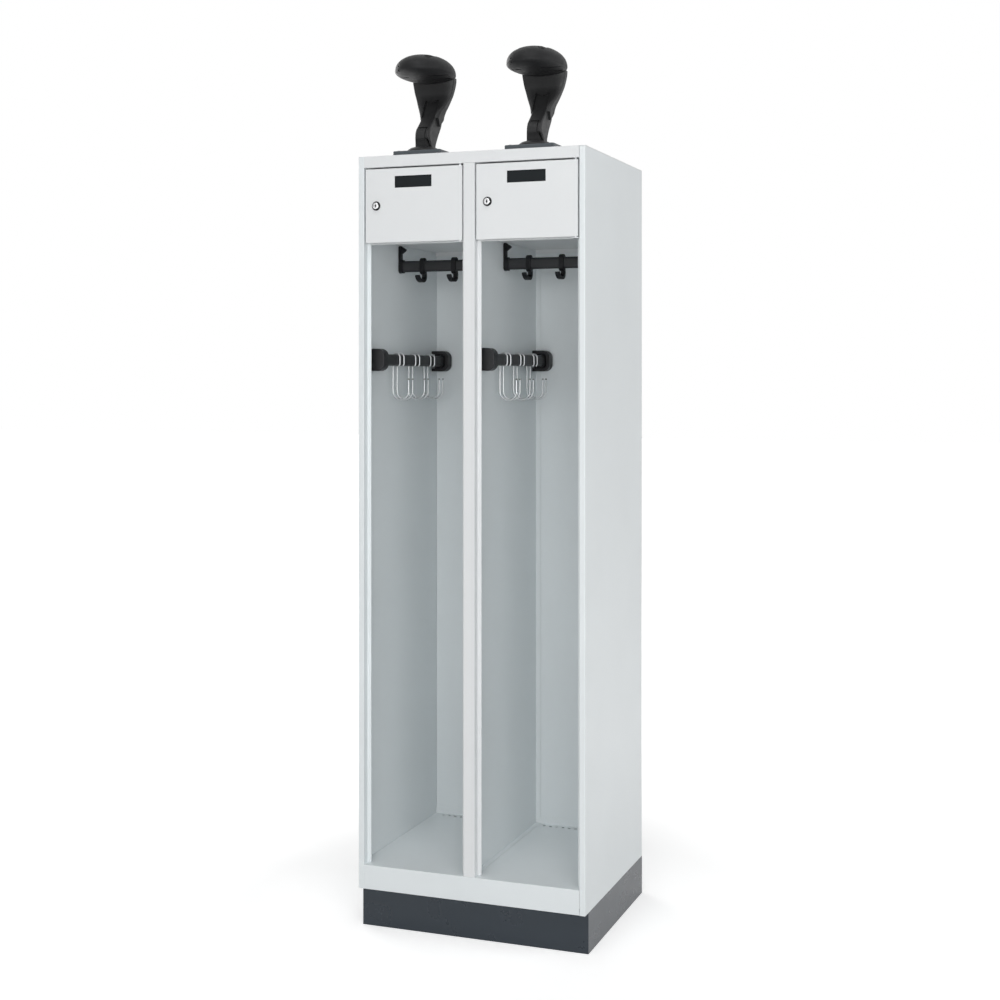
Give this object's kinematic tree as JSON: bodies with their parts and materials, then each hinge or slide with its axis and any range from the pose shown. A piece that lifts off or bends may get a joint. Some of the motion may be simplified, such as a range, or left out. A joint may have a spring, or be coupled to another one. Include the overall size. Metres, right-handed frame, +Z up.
{
  "type": "firefighter gear locker",
  "caption": "Open steel gear locker with hanging compartments under small locked boxes, sliding hooks on rails, a dark plinth and helmet holders on the roof.",
  "frame": {"origin": "on the floor, midway across the locker and midway between the front of the helmet holders and the back of the carcass", "axes": "+Z up; the open front and the doors face -Y; +X to the right seen from the front"},
  "size_m": [0.6, 0.534, 2.2129],
  "materials": {
    "carcass_paint": "fine textured powder coat, light grey, satin",
    "door_paint": "fine textured powder coat, light grey, satin",
    "plinth_paint": "powder coat, anthracite, satin",
    "plate_paint": "powder coat, anthracite, satin",
    "holder_plastic": "black moulded plastic, semi-gloss",
    "fitting_plastic": "black moulded plastic, satin",
    "rail_coat": "black coated oval steel tube, satin",
    "label_plastic": "dark moulded plastic, satin",
    "lock_chrome": "bright plated",
    "zinc": "bright zinc plated",
    "wire_steel": "drawn steel wire, bright"
  },
  "bodies": {
    "locker": {"side_panel_left": "carcass_paint", "side_panel_right": "carcass_paint", "centre_post": "carcass_paint", "partition": "carcass_paint", "back_panel": "carcass_paint", "roof_panel": "carcass_paint", "floor_pan": "carcass_paint", "shelf_left": "carcass_paint", "shelf_right": "carcass_paint", "plinth": "plinth_paint", "hinge_pin_left": "zinc", "hinge_lug_left": "zinc", "hook_rail_left": "rail_coat", "hook_rail_bracket_left_1": "fitting_plastic", "hook_rail_bracket_left_2": "fitting_plastic", "hanger_rail_left": "rail_coat", "hanger_bracket_left_front": "fitting_plastic", "hanger_bracket_left_rear": "fitting_plastic", "holder_plate_left": "plate_paint", "holder_stem_left": "holder_plastic", "holder_dome_left": "holder_plastic", "hinge_pin_right": "zinc", "hinge_lug_right": "zinc", "hook_rail_right": "rail_coat", "hook_rail_bracket_right_1": "fitting_plastic", "hook_rail_bracket_right_2": "fitting_plastic", "hanger_rail_right": "rail_coat", "hanger_bracket_right_front": "fitting_plastic", "hanger_bracket_right_rear": "fitting_plastic", "holder_plate_right": "plate_paint", "holder_stem_right": "holder_plastic", "holder_dome_right": "holder_plastic"},
    "door_left": {"door_left": "door_paint", "label_holder_left": "label_plastic", "lock_barrel_left": "lock_chrome", "lock_nut_left": "zinc"},
    "lock_plug_left": {"lock_plug_left": "lock_chrome"},
    "coat_hook_left_1": {"coat_hook_left_1": "fitting_plastic"},
    "coat_hook_left_2": {"coat_hook_left_2": "fitting_plastic"},
    "coat_hook_left_3": {"coat_hook_left_3": "fitting_plastic"},
    "s_hook_left_1": {"s_hook_left_1": "wire_steel"},
    "s_hook_left_2": {"s_hook_left_2": "wire_steel"},
    "s_hook_left_3": {"s_hook_left_3": "wire_steel"},
    "s_hook_left_4": {"s_hook_left_4": "wire_steel"},
    "s_hook_left_5": {"s_hook_left_5": "wire_steel"},
    "s_hook_left_6": {"s_hook_left_6": "wire_steel"},
    "door_right": {"door_right": "door_paint", "label_holder_right": "label_plastic", "lock_barrel_right": "lock_chrome", "lock_nut_right": "zinc"},
    "lock_plug_right": {"lock_plug_right": "lock_chrome"},
    "coat_hook_right_1": {"coat_hook_right_1": "fitting_plastic"},
    "coat_hook_right_2": {"coat_hook_right_2": "fitting_plastic"},
    "coat_hook_right_3": {"coat_hook_right_3": "fitting_plastic"},
    "s_hook_right_1": {"s_hook_right_1": "wire_steel"},
    "s_hook_right_2": {"s_hook_right_2": "wire_steel"},
    "s_hook_right_3": {"s_hook_right_3": "wire_steel"},
    "s_hook_right_4": {"s_hook_right_4": "wire_steel"},
    "s_hook_right_5": {"s_hook_right_5": "wire_steel"},
    "s_hook_right_6": {"s_hook_right_6": "wire_steel"}
  },
  "joints": [
    {"name": "door_left_hinge", "type": "hinge", "parent": "locker", "child": "door_left", "pos_m": [-0.026, -0.238, 1.731], "axis": [0, 0, 1], "range_deg": [0, 110]},
    {"name": "lock_plug_left_turn", "type": "hinge", "parent": "door_left", "child": "lock_plug_left", "pos_m": [-0.251, -0.245, 1.824], "axis": [0, 1, 0], "range_deg": [0, 90]},
    {"name": "coat_hook_left_1_slide", "type": "slide", "parent": "locker", "child": "coat_hook_left_1", "axis": [1, 0, 0], "range_m": [-0.036, 0.036]},
    {"name": "coat_hook_left_2_slide", "type": "slide", "parent": "locker", "child": "coat_hook_left_2", "axis": [1, 0, 0], "range_m": [-0.036, 0.036]},
    {"name": "coat_hook_left_3_slide", "type": "slide", "parent": "locker", "child": "coat_hook_left_3", "axis": [1, 0, 0], "range_m": [-0.036, 0.02]},
    {"name": "s_hook_left_1_slide", "type": "slide", "parent": "locker", "child": "s_hook_left_1", "axis": [0, 1, 0], "range_m": [-0.07, 0.01]},
    {"name": "s_hook_left_2_slide", "type": "slide", "parent": "locker", "child": "s_hook_left_2", "axis": [0, 1, 0], "range_m": [-0.01, 0.034]},
    {"name": "s_hook_left_3_slide", "type": "slide", "parent": "locker", "child": "s_hook_left_3", "axis": [0, 1, 0], "range_m": [-0.034, 0.01]},
    {"name": "s_hook_left_4_slide", "type": "slide", "parent": "locker", "child": "s_hook_left_4", "axis": [0, 1, 0], "range_m": [-0.01, 0.034]},
    {"name": "s_hook_left_5_slide", "type": "slide", "parent": "locker", "child": "s_hook_left_5", "axis": [0, 1, 0], "range_m": [-0.034, 0.01]},
    {"name": "s_hook_left_6_slide", "type": "slide", "parent": "locker", "child": "s_hook_left_6", "axis": [0, 1, 0], "range_m": [-0.01, 0.052]},
    {"name": "door_right_hinge", "type": "hinge", "parent": "locker", "child": "door_right", "pos_m": [0.274, -0.238, 1.731], "axis": [0, 0, 1], "range_deg": [0, 110]},
    {"name": "lock_plug_right_turn", "type": "hinge", "parent": "door_right", "child": "lock_plug_right", "pos_m": [0.049, -0.245, 1.824], "axis": [0, 1, 0], "range_deg": [0, 90]},
    {"name": "coat_hook_right_1_slide", "type": "slide", "parent": "locker", "child": "coat_hook_right_1", "axis": [1, 0, 0], "range_m": [-0.036, 0.036]},
    {"name": "coat_hook_right_2_slide", "type": "slide", "parent": "locker", "child": "coat_hook_right_2", "axis": [1, 0, 0], "range_m": [-0.036, 0.036]},
    {"name": "coat_hook_right_3_slide", "type": "slide", "parent": "locker", "child": "coat_hook_right_3", "axis": [1, 0, 0], "range_m": [-0.036, 0.02]},
    {"name": "s_hook_right_1_slide", "type": "slide", "parent": "locker", "child": "s_hook_right_1", "axis": [0, 1, 0], "range_m": [-0.07, 0.01]},
    {"name": "s_hook_right_2_slide", "type": "slide", "parent": "locker", "child": "s_hook_right_2", "axis": [0, 1, 0], "range_m": [-0.01, 0.034]},
    {"name": "s_hook_right_3_slide", "type": "slide", "parent": "locker", "child": "s_hook_right_3", "axis": [0, 1, 0], "range_m": [-0.034, 0.01]},
    {"name": "s_hook_right_4_slide", "type": "slide", "parent": "locker", "child": "s_hook_right_4", "axis": [0, 1, 0], "range_m": [-0.01, 0.034]},
    {"name": "s_hook_right_5_slide", "type": "slide", "parent": "locker", "child": "s_hook_right_5", "axis": [0, 1, 0], "range_m": [-0.034, 0.01]},
    {"name": "s_hook_right_6_slide", "type": "slide", "parent": "locker", "child": "s_hook_right_6", "axis": [0, 1, 0], "range_m": [-0.01, 0.052]}
  ]
}
